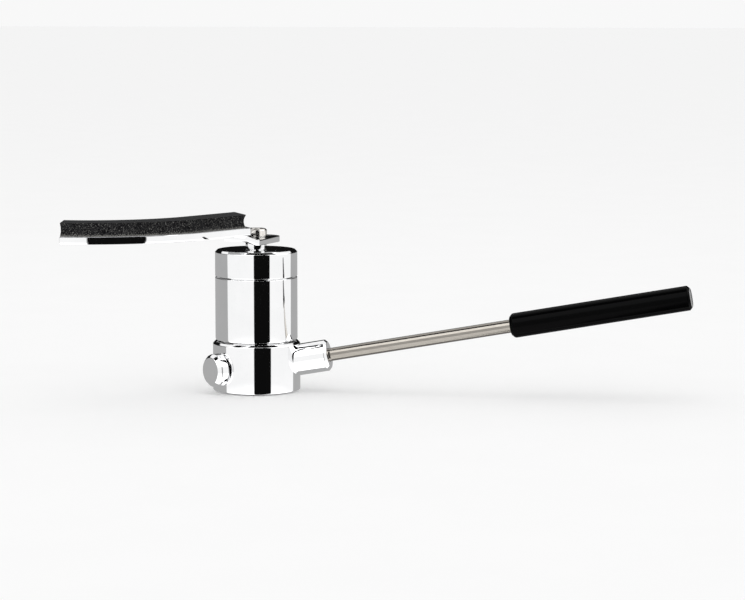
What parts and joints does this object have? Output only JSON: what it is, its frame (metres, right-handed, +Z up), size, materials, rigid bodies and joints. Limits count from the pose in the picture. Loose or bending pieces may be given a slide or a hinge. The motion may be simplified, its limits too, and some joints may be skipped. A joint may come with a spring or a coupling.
{
  "type": "turntable tonearm lifter",
  "caption": "Chromed cylinder with a spring-lifted post carrying a curved foam-topped arm, and a long trigger lever with a black sleeve on a turning base collar.",
  "frame": {"origin": "centre of the foot pad's underside", "axes": "+Z up the post; +X along the trigger lever as seen from above"},
  "size_m": [0.1369, 0.0459, 0.041],
  "materials": {
    "chrome": "polished",
    "steel": "satin",
    "brass": "satin",
    "sleeve_black": "satin",
    "rubber": "matte",
    "foam": "matte",
    "nylon": "satin"
  },
  "bodies": {
    "base": {"foot_pad": "rubber", "base_plate": "steel", "base_screw_1": "steel", "base_screw_2": "steel", "base_screw_3": "steel", "barrel": "chrome", "cap": "chrome", "post_bush": "brass", "guide_ring": "brass"},
    "lever": {"collar": "chrome", "lever_rod": "steel", "lever_sleeve": "sleeve_black", "drive_pin": "steel"},
    "knob": {"knob": "chrome", "knob_spindle": "steel", "friction_tip": "nylon"},
    "post": {"lift_post": "chrome", "piston": "brass", "piston_clip": "steel", "catch_foot": "steel", "lift_spring": "steel"},
    "arm": {"bracket": "chrome", "arm_plate": "chrome", "rivet_1": "steel", "rivet_2": "steel", "foam_pad": "foam", "washer": "steel", "arm_screw": "brass"}
  },
  "joints": [
    {"name": "lever_turn", "type": "hinge", "parent": "base", "child": "lever", "pos_m": [0, 0, 0.0055], "axis": [0, 0, 1], "range_deg": [-18, 6]},
    {"name": "knob_turn", "type": "hinge", "parent": "lever", "child": "knob", "pos_m": [0, 0, 0.0055], "axis": [-0.6717, -0.7408, 0], "range_deg": [-180, 180]},
    {"name": "lift", "type": "slide", "parent": "base", "child": "post", "axis": [0, 0, 1], "range_m": [0, 0.0065], "deforming": ["lift_spring"]},
    {"name": "arm_swing", "type": "hinge", "parent": "post", "child": "arm", "pos_m": [0, 0, 0.0341], "axis": [0, 0, 1], "range_deg": [-35, 35]}
  ]
}
